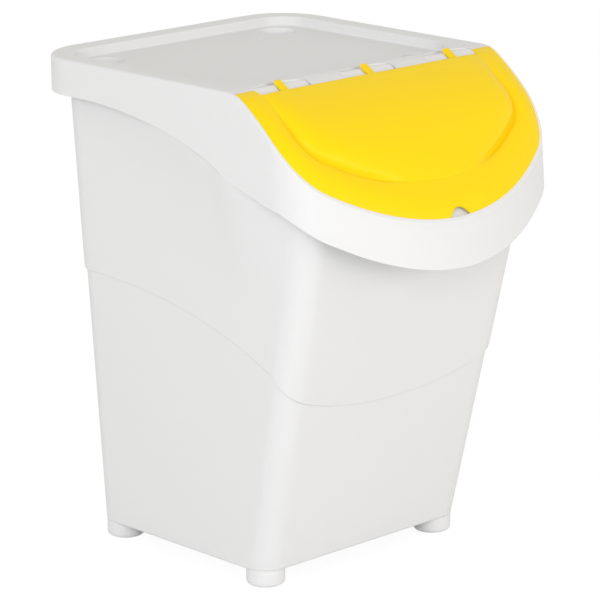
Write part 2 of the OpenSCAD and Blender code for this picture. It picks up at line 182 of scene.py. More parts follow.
def inside(points, loop):
    """Which points lie inside the outline: a ray to the left crosses it an odd number of times."""
    x, y = points[:, 0], points[:, 1]
    hit = np.zeros(len(points), bool)
    for a, b in zip(loop, np.roll(loop, -1, 0)):
        if a[1] == b[1]:
            continue
        cross = (a[1] > y) != (b[1] > y)
        hit ^= cross & (x < (b[0] - a[0]) * (y - a[1]) / (b[1] - a[1]) + a[0])
    return hit


def lifted(loop, z):
    return np.c_[loop[:, :2], np.broadcast_to(z, len(loop))]


def level(z):
    """A lift for fills that are flat at height z."""
    return lambda p: lifted(p, z)


print("a square grown by 1 mm:", offset(np.array([[0, 0], [4, 0], [4, 4], [0, 4.0]]), 1.0).tolist())

# %% [markdown]
# ## Filling an area
# A flat or curved area between outlines needs points inside it, so that it can bend. They come from
# a grid, or from rows that are given, and keep a little away from the outlines. Blender's grid fill
# needs a shape with four sides. A constrained Delaunay triangulation takes any outline with any
# holes, and keeps them as edges.

# %% Filling an area
FILL_SCALE = 0.01
CLEARANCE = 0.35


def within(points, loops):
    """Which points lie inside the first loop and outside all the others."""
    keep = inside(points, loops[0])
    for hole in loops[1:]:
        keep &= ~inside(points, hole)
    return keep


def free_points(loops, step, extra, grid):
    """A grid and the extra points, inside the area and not too close to its outlines."""
    low, high = loops[0].min(0), loops[0].max(0)
    gx = np.arange(low[0] + step / 2, high[0], step)
    gy = np.arange(low[1] + step / 2, high[1], step)
    free = np.stack(np.meshgrid(gx, gy), -1).reshape(-1, 2) if grid else np.zeros((0, 2))
    if len(extra):
        free = np.concatenate([free, np.asarray(extra, float)[:, :2]])
    free = free[within(free, loops)]
    if len(free):
        rim = np.concatenate(loops)
        near = np.full(len(free), 1e9)
        for chunk in np.array_split(rim, max(1, len(rim) // 200)):
            near = np.minimum(near, np.linalg.norm(free[:, None] - chunk[None], axis=2).min(1))
        free = free[near > step * CLEARANCE]
    return free


def triangles(loops, free):
    """Places in plan, the number of the given point that each one is, and the triangles between them."""
    flat = np.concatenate(loops + [free])
    ties, start = [], 0
    for l in loops:
        n = len(l)
        ties += [(start + i, start + (i + 1) % n) for i in range(n)]
        start += n
    made = delaunay_2d_cdt([Vector(p * FILL_SCALE) for p in flat], ties, [], 0, 1e-7, True)
    plan = np.array([[v.x, v.y] for v in made[0]]) / FILL_SCALE
    source = [o[0] if len(o) else -1 for o in made[3]]
    for k, s in enumerate(source):
        if s >= 0:
            plan[k] = flat[s]
    faces = np.array([list(f) for f in made[2]])
    return plan, source, faces[within(plan[faces].mean(1), loops)]


disc = [circle(0, 0, 10)]
print("triangles in a disc of 10 mm:", len(triangles(disc, free_points(disc, 3.0, (), True))[2]))

# %% [markdown]
# ## Surfaces
# A moulding is built from strips between matching rows of points and from fills. When everything
# is in, the doubles are merged and the normals turned outwards, which makes one closed shell. It
# could be joined from separate objects too, but a shared list of points makes sure that the rows
# along a join are the same.

# %% Surface
SHIFT = 92.564


class Surface:
    """Collects points and faces in millimetres, then becomes one welded mesh."""

    def __init__(self):
        self.points = []
        self.faces = []

    def add(self, points):
        start = len(self.points)
        self.points.extend(np.asarray(points, float).tolist())
        return np.arange(start, start + len(points))

    def strip(self, a, b, closed=True, flip=False):
        """Faces between two matching rows of points."""
        ia, ib = self.add(a), self.add(b)
        n = len(ia)
        for i in range(n if closed else n - 1):
            j = (i + 1) % n
            f = [ia[i], ia[j], ib[j], ib[i]]
            self.faces.append(f[::-1] if flip else f)

    def loft(self, rows, closed=True, flip=False):
        for a, b in zip(rows, rows[1:]):
            self.strip(a, b, closed, flip)

    def cap(self, row):
        """Closes a round or convex row with triangles about its middle."""
        ids, middle = self.add(row), self.add([np.mean(row, 0)])[0]
        self.faces += [[ids[i - 1], ids[i], middle] for i in range(len(ids))]

    def capped_loft(self, rows):
        self.loft(rows)
        self.cap(rows[0])
        self.cap(rows[-1])

    def fill(self, outer, holes=(), step=6.0, lift=None, extra=(), grid=True, flip=False):
        """Fills the plan area of outer minus holes. lift turns plan points into places."""
        given = [np.asarray(l, float) for l in (outer, *holes)]
        loops = [l[:, :2] for l in given]
        plan, source, faces = triangles(loops, free_points(loops, step, extra, grid))
        places = np.c_[plan, np.zeros(len(plan))] if lift is None else lift(plan)
        rims = np.concatenate([
            g if g.shape[1] == 3 else np.c_[g, np.full(len(g), np.nan)] for g in given])
        for k, s in enumerate(source):
            if 0 <= s < len(rims) and not np.isnan(rims[s, 2]):
                places[k] = rims[s]
        ids = self.add(places)
        for f in faces:
            a, b, c = plan[f]
            turn = (b[0] - a[0]) * (c[1] - a[1]) - (b[1] - a[1]) * (c[0] - a[0])
            tri = [ids[f[0]], ids[f[1]], ids[f[2]]]
            self.faces.append(tri[::-1] if (turn < 0) != flip else tri)

    def build(self, name, materials=(), middle=SHIFT, weld=0.02):
        """The finished object. middle is the y that becomes the object's origin."""
        pts = (np.array(self.points) - [0, middle, 0]) / 1000
        mesh = bpy.data.meshes.new(name)
        mesh.from_pydata(pts.tolist(), [], [[int(i) for i in f] for f in self.faces])
        for m in materials:
            mesh.materials.append(m)
        bm = bmesh.new()
        bm.from_mesh(mesh)
        bmesh.ops.remove_doubles(bm, verts=bm.verts, dist=weld / 1000)
        bmesh.ops.dissolve_degenerate(bm, edges=bm.edges, dist=1e-6)
        bmesh.ops.recalc_face_normals(bm, faces=bm.faces)
        bm.to_mesh(mesh)
        bm.free()
        mesh.shade_smooth()
        obj = bpy.data.objects.new(name, mesh)
        bpy.context.scene.collection.objects.link(obj)
        return obj


print("a surface can:", [n for n in vars(Surface) if not n.startswith("_")])

# %% [markdown]
# ## Even shading
# Smooth shading would bend the light across a whole flat wall when its edge has a small rounding.
# The Weighted Normal modifier lets the large faces decide, as a real flat wall does. Its result is
# then turned into plain mesh, because a finished piece carries no modifier here.

# %% Even shading
def plain_mesh(obj):
    """Turns the object's modifiers into plain mesh."""
    dg = bpy.context.evaluated_depsgraph_get()
    mesh = bpy.data.meshes.new_from_object(obj.evaluated_get(dg))
    obj.modifiers.clear()
    obj.data = mesh
    return obj


def even_shading(obj):
    mod = obj.modifiers.new("even", "WEIGHTED_NORMAL")
    mod.mode = "FACE_AREA"
    mod.weight = 50
    return plain_mesh(obj)


print("shading tools ready")

# %% [markdown]
# ## Plastics
# The bin is moulded in two satin plastics, white and yellow polypropylene. A plain colour would
# look like a drawing, so each has a faint grain in its bump, as spark-eroded moulds leave, and a
# slow change in roughness, so that large faces don't shine quite evenly. Both patterns are read on
# object coordinates and stay put when a piece moves.

# %% Plastics
GRAIN_SCALE, SHEEN_SCALE = 900.0, 9.0
GRAIN_DEPTH = 0.0002
PLASTIC_IOR = 1.49


def plastic(name, colour, gloss, grain, sheen_low, sheen_high):
    """A satin plastic with a fine grain, whose roughness drifts between sheen_low and sheen_high."""
    mat = bpy.data.materials.new(name)
    mat.use_nodes = True
    nodes, links = mat.node_tree.nodes, mat.node_tree.links
    shader = nodes["Principled BSDF"]
    shader.inputs["Base Color"].default_value = (*colour, 1)
    shader.inputs["Roughness"].default_value = (sheen_low + sheen_high) / 2
    shader.inputs["IOR"].default_value = PLASTIC_IOR
    shader.inputs["Specular IOR Level"].default_value = gloss
    place = nodes.new("ShaderNodeTexCoord")
    slow, fine = nodes.new("ShaderNodeTexNoise"), nodes.new("ShaderNodeTexNoise")
    for noise, scale, detail in ((slow, SHEEN_SCALE, 3.0), (fine, GRAIN_SCALE, 2.0)):
        noise.inputs["Scale"].default_value = scale
        noise.inputs["Detail"].default_value = detail
        links.new(place.outputs["Object"], noise.inputs["Vector"])
    spread = nodes.new("ShaderNodeMapRange")
    spread.inputs["To Min"].default_value = sheen_low
    spread.inputs["To Max"].default_value = sheen_high
    bump = nodes.new("ShaderNodeBump")
    bump.inputs["Strength"].default_value = grain
    bump.inputs["Distance"].default_value = GRAIN_DEPTH
    links.new(slow.outputs["Fac"], spread.inputs["Value"])
    links.new(spread.outputs["Result"], shader.inputs["Roughness"])
    links.new(fine.outputs["Fac"], bump.inputs["Height"])
    links.new(bump.outputs["Normal"], shader.inputs["Normal"])
    return mat


white = plastic("white polypropylene", (0.80, 0.80, 0.80), 0.30, 0.10, 0.40, 0.50)
yellow = plastic("yellow polypropylene", (1.0, 0.70, 0.003), 0.16, 0.08, 0.30, 0.42)
print("materials:", white.name, "and", yellow.name)

# %% [markdown]
# ## Bucket walls
# A bucket leaves its mould because its walls lean: here the sides and the back a little, the front
# much more. Each wall is a straight line in section, so a function of the height says where it is.
# The rim ends a small gap below the cover: below its sockets at the back, and below its ledge in
# front. A scaled cube would lean too, but equally on all sides.

# %% Bucket walls
WIDTH = 330.0
HALF = WIDTH / 2
RIM_BACK = 300.0
FLAP_REACH = 106.5
WALL = 2.6
LEDGE_D, COVER_GAP = 5.4, 0.3
TRAY_DEPTH, SOCKET_DEPTH = 9.5, 2.5
SIDE_INSET, BACK_INSET, FRONT_INSET = 15.0, 26.6, 37.0
SIDE_DRAFT, BACK_DRAFT, FRONT_LEAN = 0.040, 0.034, 0.228
RIM_Z = HEIGHT - TRAY_DEPTH - SOCKET_DEPTH - WALL - COVER_GAP
FRONT_RIM_Y = -FLAP_REACH + FRONT_INSET
FRONT_RIM_Z = float(deck_z(FRONT_RIM_Y, LEDGE_D)) - COVER_GAP


def bucket_half(z):
    return HALF - SIDE_INSET - SIDE_DRAFT * (RIM_Z - z)


def bucket_back(z):
    return RIM_BACK - BACK_INSET - BACK_DRAFT * (RIM_Z - z)


def bucket_front(z):
    return FRONT_RIM_Y - FRONT_LEAN * (z - FRONT_RIM_Z)


print("rim height", round(RIM_Z, 1), "front rim", round(FRONT_RIM_Z, 1))

# %% [markdown]
# ## Bucket outline
# Seen from above, the bucket is a rounded rectangle whose corners keep one radius while its sides
# draw in. Every loop has the same points, each with its share across, its share along and the way
# it faces, so that a loop at any height, moved out by any amount, joins the next one. The corners
# of a bevelled cube would shrink with the taper, and these don't.

# %% Bucket outline
BUCKET_CORNER = 25.0


def bucket_marks():
    """Each point of a loop as across, along and facing."""
    rows = []
    for n, f in ((44, lambda t: (lerp(-1, 1, t), 0, -90)), (14, lambda t: (1, 0, lerp(-90, 0, t))),
                 (90, lambda t: (1, t, 0)), (14, lambda t: (1, 1, lerp(0, 90, t))),
                 (30, lambda t: (lerp(1, -1, t), 1, 90)), (14, lambda t: (-1, 1, lerp(90, 180, t))),
                 (90, lambda t: (-1, 1 - t, 180)), (14, lambda t: (-1, 0, lerp(180, 270, t)))):
        rows += [f(i / n) for i in range(n)]
    return np.array(rows)


ACROSS, ALONG, FACING = bucket_marks().T
COS, SIN = np.cos(np.radians(FACING)), np.sin(np.radians(FACING))


def ring(z, out):
    """The bucket's loop at heights z, moved outwards by out. Both may differ from point to point."""
    z = z + 0 * ACROSS
    reach = BUCKET_CORNER + out + 0 * ACROSS
    a = bucket_half(z) - BUCKET_CORNER
    f = bucket_front(z) + BUCKET_CORNER
    b = bucket_back(z) - BUCKET_CORNER
    return np.stack([ACROSS * a + COS * reach, lerp(f, b, ALONG) + SIN * reach, z], -1)


def settle(rule, start):
    """Heights on the wall that follow a rule of y. The wall leans, so it takes a few rounds."""
    z = start + 0 * ACROSS
    for _ in range(10):
        z = rule(ring(z, 0)[:, 1])
    return z


print("points in a loop of the bucket:", len(ACROSS))

# %% [markdown]
# ## Nesting line and shoulder
# Empty buckets are stored in each other, and a small step round the wall, the nesting line, keeps
# them from jamming. It runs high at the back and dips towards the front. Higher up, the wall swells
# out beside the mouth until it is flush with the cover's edge. Both are tables with one value for
# each point of the loop: a height for the line, and a share from 0 to 1 for the swelling. They
# could be sculpted, but then both sides would hardly come out the same.

# %% Nesting line and shoulder
NEST_STEP = 2.2
NEST_FRONT, NEST_BACK = 169.0, 268.0
NEST_SIDE_FALL, NEST_CORNER_RISE = 67, 25
NEST_BEND = 2.2
NEST_LEVEL, NEST_PAST, NEST_HALF = 12, 8, 136
SHOULDER_H = 110.0
FLUSH_GAP = 0.15
SWELL_START, SWELL_IN = -66, 100
SWELL_END, SWELL_OUT = 255, 190

SEAM = settle(seam_z, RIM_Z - 60)
RIM_TOP = settle(lambda y: np.minimum(RIM_Z, deck_z(y, LEDGE_D) - COVER_GAP), RIM_Z)
SIDE_Y = ring(HEIGHT - 60, 0)[:, 1]
ON_SIDE = np.abs(COS) >= 0.999
GROW, FADE = smooth((SIDE_Y - SWELL_START) / SWELL_IN), smooth((SWELL_END - SIDE_Y) / SWELL_OUT)
FULL = np.where(ON_SIDE, FADE * GROW, 0)
SWELL = (HALF - FLUSH_GAP - bucket_half(SEAM)) * FULL
LOW = ring(NEST_FRONT, 0)
BACK = bucket_back(NEST_FRONT)
AHEAD = clamp((BACK - NEST_LEVEL - LOW[:, 1]) / (BACK + NEST_PAST))
NEST_SIDE = NEST_BACK - NEST_SIDE_FALL * AHEAD ** NEST_BEND
NEST_AHEAD = NEST_FRONT + NEST_CORNER_RISE * clamp(np.abs(LOW[:, 0]) / NEST_HALF) ** NEST_BEND
NEST = np.where((ALONG > 0) | (SIN >= 0), NEST_SIDE, lerp(NEST_AHEAD, NEST_SIDE, 1 + SIN))
SHOULDER_Z = np.maximum(SEAM - 6 - SHOULDER_H, NEST + 6)
print("nesting line from", round(float(NEST.min()), 1), "to", round(float(NEST.max()), 1))
print("the shoulder swells by up to", round(float(SWELL.max()), 1), "mm")

# %% [markdown]
# ## Bucket wall
# The wall is one stack of loops. It starts under the bottom, goes round its edge, up the outside,
# over the nesting step and the shoulder, under the cover and over the rim, and down the inside to
# the floor. A Solidify modifier would give an even wall too, but here the rim, which dips under the
# cover, needs its own rounding.

# %% Bucket wall
FOOT_H = 16.0
FLOOR_ROUND = 3
SHOULDER_BEND = 1.6
LAP_GAP = 0.6


def quarter(n):
    return np.radians(np.linspace(0, 90, n + 1))


def shares(n, up=True):
    """n steps from 0 to 1, or from 1 to 0, without the first."""
    return np.linspace(0, 1, n + 1)[1:] if up else np.linspace(1, 0, n + 1)[1:]


hidden = SWELL - (WALL + LAP_GAP) * FULL
wall = [ring(FOOT_H + FLOOR_ROUND * (1 - math.sin(t)), -NEST_STEP - FLOOR_ROUND * (1 - math.cos(t)))
        for t in quarter(6)][::-1]
wall += [ring(lerp(FOOT_H + FLOOR_ROUND, NEST - 1.2, t), -NEST_STEP) for t in shares(15)]
wall += [ring(NEST + up, out) for up, out in (
    (-0.5, -2.15), (-0.15, -1.9), (0.0, -1.4), (0.1, -0.7), (0.35, -0.2), (0.8, 0.0))]
wall += [ring(lerp(NEST + 0.8, SHOULDER_Z, t), 0) for t in shares(13)]
wall += [ring(lerp(SHOULDER_Z, SEAM - 0.5, t), SWELL * t ** SHOULDER_BEND) for t in shares(14)]
wall += [ring(SEAM - 0.25, lerp(SWELL, hidden, 0.08)), ring(SEAM - 0.2, hidden)]
wall += [ring(lerp(SEAM - 0.2, RIM_TOP - 0.8, t), lerp(hidden, 0, t)) for t in shares(6)]
wall += [ring(RIM_TOP + up, out) for up, out in (
    (-0.25, -0.25), (0.0, -0.8), (0.0, -1.8), (-0.25, -2.35), (-0.8, -WALL))]
print("rows on the outside of the wall:", len(wall))

# %% [markdown]
# ## Inside of the bucket
# The inner face goes back down a wall's thickness further in. Inside the shoulder it swells only
# four fifths as far, so that the wall is a little thicker there. Solidify could vary its thickness
# with a vertex group, but the table of the swelling is already at hand.

# %% Inside of the bucket
wall += [ring(lerp(SEAM - 3, RIM_TOP - 0.8, t), lerp(hidden, 0, t) - WALL) for t in shares(6, False)]
wall += [ring(lerp(SHOULDER_Z, SEAM - 3, t), SWELL * t ** SHOULDER_BEND * 0.8 - WALL)
         for t in shares(11, False)]
wall += [ring(lerp(NEST + 0.8, SHOULDER_Z, t), -WALL) for t in shares(9, False)]
inset = -NEST_STEP - WALL
wall += [ring(NEST - 1.2, inset)]
wall += [ring(lerp(FOOT_H + WALL + FLOOR_ROUND, NEST - 1.2, t), inset) for t in shares(11, False)]
wall += [ring(FOOT_H + WALL + FLOOR_ROUND * (1 - math.sin(t)), inset - FLOOR_ROUND * (1 - math.cos(t)))
         for t in quarter(5)[1:]]
bucket = Surface()
bucket.loft(wall)
print("rows in all:", len(wall))

# %% [markdown]
# ## Bucket bottom
# The floor of a moulded bucket is flat, and its feet are hollow from above, because thick lumps of
# plastic would sink as they cool. So the floor is a fill with four round holes, and a small cup
# goes down into each foot. The feet's places follow from the walls at the height of the floor.

# %% Bucket bottom
FOOT_R = 18.2
FOOT_INSET = 19.6
CUP_R = FOOT_R - WALL - 3.4
FOOT_X = bucket_half(FOOT_H) - NEST_STEP - FOOT_INSET
FOOT_FRONT = bucket_front(FOOT_H) + NEST_STEP + FOOT_INSET
FOOT_BACK = bucket_back(FOOT_H) - NEST_STEP - FOOT_INSET
FEET = [(x, y) for x in (-FOOT_X, FOOT_X) for y in (FOOT_FRONT, FOOT_BACK)]

cups = [circle(x, y, CUP_R) for x, y in FEET]
bucket.fill(wall[-1], cups, step=12, lift=level(FOOT_H + WALL))
for cup in cups:
    bucket.loft([lifted(offset(cup, out), z) for out, z in (
        (0.0, FOOT_H + WALL), (-0.5, FOOT_H + WALL - 0.5), (-0.5, WALL + 1), (-1.5, WALL))], flip=True)
    bucket.fill(offset(cup, -1.5), step=4, lift=level(WALL))
bucket.fill(wall[0], step=14, lift=level(FOOT_H), flip=True)
bucket_shell = even_shading(bucket.build("bucket_shell", [white]))
print("bucket:", len(bucket_shell.data.polygons), "faces")
print("feet at", [(round(float(x), 1), round(float(y), 1)) for x, y in FEET])

# %% [markdown]
# ## Repeated parts
# Feet, bars and hooks come in rows. One Geometry Nodes group places a part on a grid of points,
# realizes the copies and sets their material. An Array modifier would need two for the feet, and
# copies made in a loop couldn't be tried out with other counts. The group's sizes are named inputs,
# and the result becomes one plain mesh.

# %% Repeater
def grid_spread(tree, count, spacing):
    """Nodes that give the whole length of a row: its count less one, times its spacing."""
    less, size = tree.nodes.new("ShaderNodeMath"), tree.nodes.new("ShaderNodeMath")
    less.operation, size.operation = "SUBTRACT", "MULTIPLY"
    less.inputs[1].default_value = 1
    tree.links.new(count, less.inputs[0])
    tree.links.new(less.outputs[0], size.inputs[0])
    tree.links.new(spacing, size.inputs[1])
    return size.outputs[0]


def repeater():
    tree = bpy.data.node_groups.new("part on a grid", "GeometryNodeTree")
    face = tree.interface
    face.new_socket("Geometry", in_out="INPUT", socket_type="NodeSocketGeometry")
    for label, kind in (("Part", "Object"), ("Spacing X", "Float"), ("Spacing Y", "Float"),
                        ("Count X", "Int"), ("Count Y", "Int"), ("Centre", "Vector"),
                        ("Finish", "Material")):
        face.new_socket(label, in_out="INPUT", socket_type="NodeSocket" + kind)
    face.new_socket("Geometry", in_out="OUTPUT", socket_type="NodeSocketGeometry")
    given = tree.nodes.new("NodeGroupInput").outputs
    grid, move, part, put, real, paint = [tree.nodes.new("GeometryNode" + kind) for kind in (
        "MeshGrid", "Transform", "ObjectInfo", "InstanceOnPoints", "RealizeInstances", "SetMaterial")]
    result = tree.nodes.new("NodeGroupOutput")
    for start, end in (
            (grid_spread(tree, given["Count X"], given["Spacing X"]), grid.inputs["Size X"]),
            (grid_spread(tree, given["Count Y"], given["Spacing Y"]), grid.inputs["Size Y"]),
            (given["Count X"], grid.inputs["Vertices X"]), (given["Count Y"], grid.inputs["Vertices Y"]),
            (grid.outputs["Mesh"], move.inputs["Geometry"]), (given["Centre"], move.inputs["Translation"]),
            (given["Part"], part.inputs["Object"]), (move.outputs["Geometry"], put.inputs["Points"]),
            (part.outputs["Geometry"], put.inputs["Instance"]),
            (put.outputs["Instances"], real.inputs["Geometry"]),
            (real.outputs["Geometry"], paint.inputs["Geometry"]),
            (given["Finish"], paint.inputs["Material"]),
            (paint.outputs["Geometry"], result.inputs["Geometry"])):
        tree.links.new(start, end)
    return tree


GRID = repeater()
print("repeater inputs:", [i.name for i in GRID.interface.items_tree if i.in_out == "INPUT"])

# %% [markdown]
# ## Using the repeater
# An empty object carries the group as a modifier. Its inputs are set by each socket's own
# identifier, because their names may repeat. The single part is removed when its copies are made.

# %% Using the repeater
def repeat(name, part, counts, spacing, centre, finish):
    """Copies of part on a grid, as one plain mesh. Lengths are in metres."""
    obj = bpy.data.objects.new(name, bpy.data.meshes.new(name))
    bpy.context.scene.collection.objects.link(obj)
    mod = obj.modifiers.new("grid", "NODES")
    mod.node_group = GRID
    values = {"Part": part, "Spacing X": spacing[0], "Spacing Y": spacing[1], "Count X": counts[0],
              "Count Y": counts[1], "Centre": centre, "Finish": finish}
    for item in GRID.interface.items_tree:
        if item.in_out == "INPUT" and item.name in values:
            mod[item.identifier] = values[item.name]
    bpy.context.view_layer.update()
    plain_mesh(obj)
    bpy.data.objects.remove(part)
    return obj


print("nodes in the group:", len(GRID.nodes))

# %% [markdown]
# ## Feet
# Four round feet stand under the corners and fit the sockets of the bin below. A foot is a turned
# form, so its profile of radius and height is spun about Z. A Screw modifier could spin it too, but
# the few lines of `lathe` need no curve object. The foot reaches a little into the bucket's floor,
# so that no gap shows where they join.

# %% Feet
FOOT_ROUND = 4.0


def lathe(name, profile, turns=72):
    """A part turned about Z from (radius, height) points, standing at the origin."""
    a = np.linspace(0, 2 * np.pi, turns + 1)[:-1]
    turned = Surface()
    turned.capped_loft([
        np.stack([r * np.cos(a), r * np.sin(a), np.full(turns, z)], -1) for r, z in profile])
    return turned.build(name, middle=0)


profile = [(FOOT_R - FOOT_ROUND - 1.0, 0.0), (FOOT_R - FOOT_ROUND, 0.0)]
profile += [(FOOT_R - FOOT_ROUND + FOOT_ROUND * math.sin(t), FOOT_ROUND * (1 - math.cos(t)))
            for t in quarter(8)[1:]]
profile += [(FOOT_R, 8.0), (FOOT_R, 12.0), (FOOT_R, FOOT_H + 1.2)]
feet = repeat("bucket_feet", lathe("foot", profile), (2, 2),
              (2 * FOOT_X / 1000, (FOOT_BACK - FOOT_FRONT) / 1000),
              (0, ((FOOT_BACK + FOOT_FRONT) / 2 - SHIFT) / 1000, 0), white)
print("feet:", len(feet.data.polygons), "faces")

# %% [markdown]
# ## Cover outline
# The cover and the flap share the form of their front: a wide arc between two corner arcs. The
# cover's edge is that line moved outwards by the width of the lip, with round corners at the back.
# A Bevel on a box would be quicker, but it couldn't give the bowed front. Every call gives the same
# number of points, so a rounded edge is a strip between two calls with different sizes.

# %% Cover outline
COVER_CORNER = 54.0
LIP_W = 2.8
FLAP_HALF = HALF - LIP_W
FLAP_CORNER = 50.0
FLAP_FRONT_R = 300.0
FLAP_CX = FLAP_HALF - FLAP_CORNER
FLAP_CY0 = FLAP_FRONT_R - FLAP_REACH
FLAP_CY = FLAP_CY0 - math.sqrt((FLAP_FRONT_R - FLAP_CORNER) ** 2 - FLAP_CX ** 2)
FLAP_TURN = math.asin(FLAP_CX / (FLAP_FRONT_R - FLAP_CORNER))


def flap_arcs(g, n=14, m=60):
    """The rounded front from its right side to its left side, moved outwards by g."""
    turn = math.degrees(FLAP_TURN)
    a = np.linspace(FLAP_TURN, -FLAP_TURN, m + 1)[1:-1]
    r = FLAP_FRONT_R + g
    return np.concatenate([
        arc(FLAP_CX, FLAP_CY, FLAP_CORNER + g, 0, turn - 90, n),
        np.stack([r * np.sin(a), FLAP_CY0 - r * np.cos(a)], -1),
        arc(-FLAP_CX, FLAP_CY, FLAP_CORNER + g, -90 - turn, -180, n)])


def cover_loop(g=0.0):
    front = flap_arcs(LIP_W + g)
    left = arc(-HALF + COVER_CORNER, RIM_BACK - COVER_CORNER, COVER_CORNER + g, 180, 90, 20)
    right = arc(HALF - COVER_CORNER, RIM_BACK - COVER_CORNER, COVER_CORNER + g, 90, 0, 20)
    loop = np.concatenate([
        front, between(front[-1], left[0], 70), left,
        between(left[-1], right[0], 24), right, between(right[-1], front[0], 70)])
    return loop[::-1]


COVER = cover_loop()
print("cover outline:", len(COVER), "points, flap corner centre", round(FLAP_CX, 1), round(FLAP_CY, 1))

# %% [markdown]
# ## Cover skirt
# Below its edge the cover hangs down as a skirt. At the front it flares forward into a broad band,
# which is what the hand pulls on. The flare could be a shear of the finished mesh, but then the
# seam would move with it, so each row is pushed forward by its own height, and the seam is found on
# the flared wall.

# %% Cover skirt
BAND_H, BAND_FLARE = 37.0, 7.3
BAND_FOOT = 20
FLARE_START = 60
FLARE_FROM = 3.5
SLAB_Z = float(deck_z(-FLAP_REACH)) - BAND_H - BAND_FOOT
FLARE = np.clip((FLARE_START - COVER[:, 1]) / (FLARE_START - FLAP_CY), 0, 1)
FLARE_TOP = deck_z(COVER[:, 1], FLARE_FROM)


def skirt(loop, z):
    """The cover's wall at heights z: the front is pushed forward towards the foot of the band."""
    push = BAND_FLARE * np.clip((FLARE_TOP - z) / (FLARE_TOP - SLAB_Z), 0, 1.5)
    return np.stack([loop[:, 0], loop[:, 1] - FLARE * push, np.broadcast_to(z, len(loop))], -1)


def seam_on(loop):
    """Heights of the seam on the flared wall. The flare moves the wall, so it takes a few rounds."""
    z = seam_z(loop[:, 1])
    for _ in range(8):
        z = seam_z(skirt(loop, z)[:, 1])
    return z


print("band foot reaches y", round(float(skirt(COVER, seam_on(COVER))[:, 1].min()), 2))

# %% [markdown]
# ## Outlines in the top
# Three outlines are cut into the top of the cover. The tray and the mouth are rounded rectangles
# with other corners at the front than at the back. The recess follows the flap's edge and bulges
# behind each hook into half an ellipse, the hollow in which the hook turns. They could be cut with
# Booleans, but outlines of matching points give clean rounded edges.

# %% Tray and mouth outlines
TRAY_RIM, TRAY_RIM_BACK, TRAY_FRONT = 22.0, 23.5, 29.0
TRAY_CORNER, TRAY_FRONT_CORNER = 30.0, 41.0
MOUTH_HALF, MOUTH_FRONT, MOUTH_REAR = 130.2, -58.5, 2.0
MOUTH_CORNER, MOUTH_FRONT_CORNER = 8, 34


def pan_loop(w, y0, y1, rb, rf, g, n=14, side=24):
    """A rounded rectangle: half width w, from y0 to y1, corners rb at the back and rf in front."""
    a = arc(w - rf, y0 + rf, rf + g, -90, 0, n)
    b = arc(w - rb, y1 - rb, rb + g, 0, 90, n)
    c = arc(-w + rb, y1 - rb, rb + g, 90, 180, n)
    d = arc(-w + rf, y0 + rf, rf + g, 180, 270, n)
    return np.concatenate([
        a, between(a[-1], b[0], side), b, between(b[-1], c[0], side),
        c, between(c[-1], d[0], side), d, between(d[-1], a[0], side)])


def tray_loop(g):
    back = RIM_BACK - TRAY_RIM_BACK
    return pan_loop(HALF - TRAY_RIM, TRAY_FRONT, back, TRAY_CORNER, TRAY_FRONT_CORNER, g)


def mouth_loop(g):
    return pan_loop(MOUTH_HALF, MOUTH_FRONT, MOUTH_REAR, MOUTH_CORNER, MOUTH_FRONT_CORNER, g, side=30)


print("tray opening:", np.round(np.ptp(tray_loop(0), axis=0), 1).tolist(), "mm")

# %% Recess outline
FLAP_REAR, EAR_REAR, FLAP_GAP = 6.0, 14.4, 0.08
HOOK_PITCH = 107.6
HINGES = (-HOOK_PITCH, 0, HOOK_PITCH)
SCOOP_HALF, SCOOP_DEEP, SCOOP_MID = 34.0, 15.0, 11.0


def scoop_arc(x, y_from, y_to, n=26):
    """The rear edge of a scoop, from its right end at y_from to its left end at y_to."""
    a = math.asin((y_from - SCOOP_MID) / SCOOP_DEEP)
    b = math.pi - math.asin((y_to - SCOOP_MID) / SCOOP_DEEP)
    t = np.linspace(a, b, n + 1)
    return np.stack([x + SCOOP_HALF * np.cos(t), SCOOP_MID + SCOOP_DEEP * np.sin(t)], -1)


def recess_loop():
    """The edge of the hollow that the flap and its hooks lie in."""
    rear, ears = FLAP_REAR + 0.5, EAR_REAR + 0.5
    front = flap_arcs(FLAP_GAP)[::-1]
    side = front[-1]
    path = np.concatenate([
        side[None], np.array([[side[0], ears]]), scoop_arc(HOOK_PITCH, ears, rear),
        scoop_arc(0, rear, rear), scoop_arc(-HOOK_PITCH, rear, ears),
        np.array([[-side[0], ears]]), front[:1]])
    return np.concatenate([front, resample(path, 4.0, False)[1:-1]])


recess = recess_loop()
print("recess outline:", len(recess), "points")

# %% [markdown]
# ## Cover outside
# The outside starts as rows from the soft top edge down the skirt, round its foot and up the inner
# face. Then the flat rim is filled between that edge, the tray and the recess. The edge is sharper
# along the flap than round the tray, so its radius is a table too. A Bevel modifier would give it
# one width all round.

# %% Cover outside
SOFT_EDGE, FLAP_EDGE = 3.0, 0.9
EDGE_CHANGE, EDGE_BLEND = 4, 26
TRAY_EDGE = 1.2
CEILING_Z, CEILING_START = HEIGHT - 4.5, 26.4
edge_r = lerp(FLAP_EDGE, SOFT_EDGE, smooth((COVER[:, 1] - EDGE_CHANGE) / EDGE_BLEND))


def cover_row(inset, depth):
    """A row near the top edge, drawn in by inset and down by depth, as shares of the edge's radius."""
    t = np.roll(COVER, -1, 0) - np.roll(COVER, 1, 0)
    n = np.stack([t[:, 1], -t[:, 0]], -1) / np.linalg.norm(t, axis=1)[:, None]
    plan = COVER - n * (inset * edge_r)[:, None]
    z = deck_z(plan[:, 1], depth * edge_r)
    return skirt(plan, z) if depth > 0 else lifted(plan, z)


def recess_row(out, d):
    """A row of the recess's edge, moved outwards by out and down by d."""
    plan = offset(recess, out)
    lean = clamp((FLAP_REAR - plan[:, 1]) / 40)
    y = plan[:, 1] + d * np.sin(deck_angle(plan[:, 1])) * lean
    return np.stack([plan[:, 0], y, deck_z(y, d)], -1)


